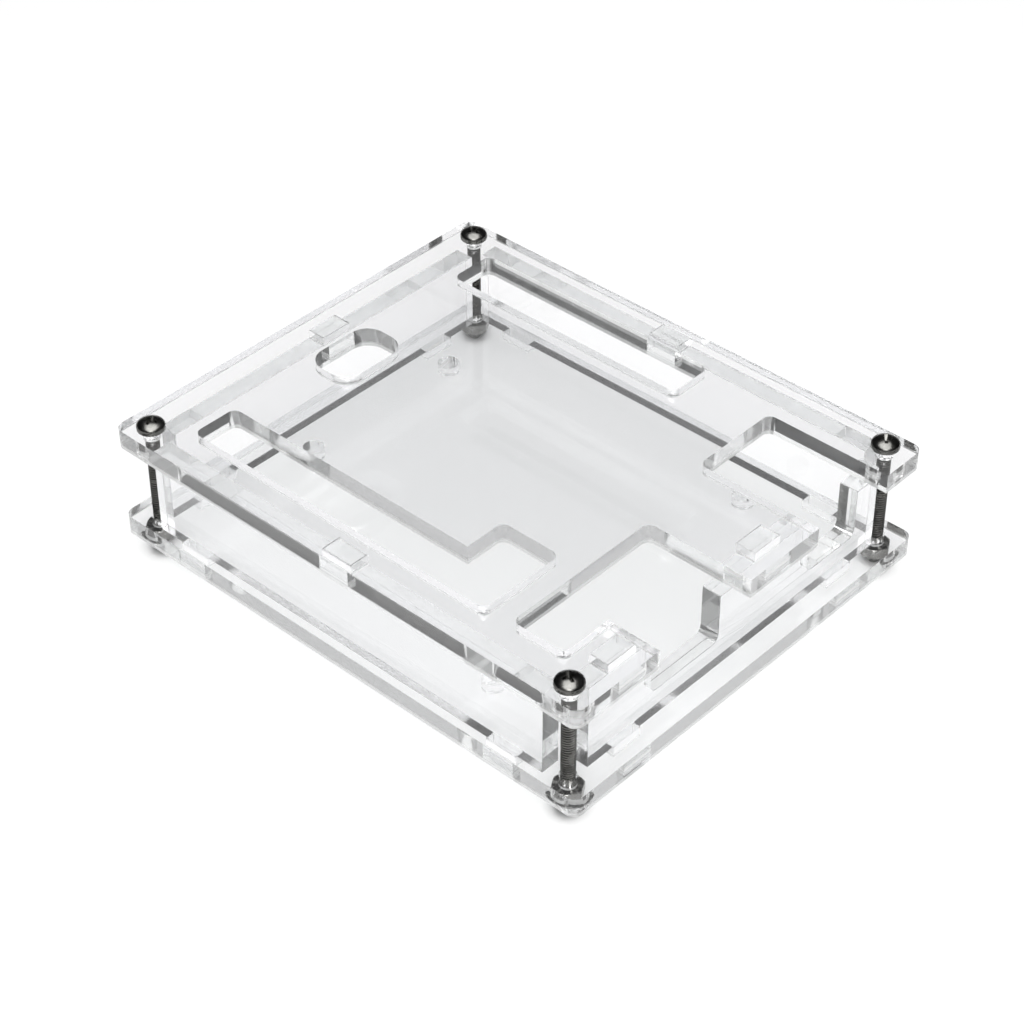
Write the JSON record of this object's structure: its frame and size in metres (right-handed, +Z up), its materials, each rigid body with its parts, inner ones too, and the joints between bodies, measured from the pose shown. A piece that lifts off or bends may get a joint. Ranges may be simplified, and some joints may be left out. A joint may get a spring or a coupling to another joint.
{
  "type": "acrylic development board case",
  "caption": "Clear acrylic case for a small development board: slotted top and bottom sheets, tabbed walls, corner screws and nuts, openings for connectors and headers.",
  "frame": {"origin": "on the ground under the middle of the case, where the four screw ends stand", "axes": "+X along the case towards the connector openings, +Y across the case towards the back, +Z up"},
  "size_m": [0.084, 0.0704, 0.0228],
  "materials": {
    "clear_sheet": "polished clear acrylic",
    "screw_steel": "plated",
    "nut_steel": "plated"
  },
  "bodies": {
    "root": {"bottom_plate": "clear_sheet", "top_plate": "clear_sheet", "front_wall": "clear_sheet", "back_wall": "clear_sheet", "left_wall": "clear_sheet", "right_wall": "clear_sheet", "corner_screw_1": "screw_steel", "corner_screw_2": "screw_steel", "corner_screw_3": "screw_steel", "corner_screw_4": "screw_steel", "corner_nut_1": "nut_steel", "corner_nut_2": "nut_steel", "corner_nut_3": "nut_steel", "corner_nut_4": "nut_steel"}
  },
  "joints": []
}
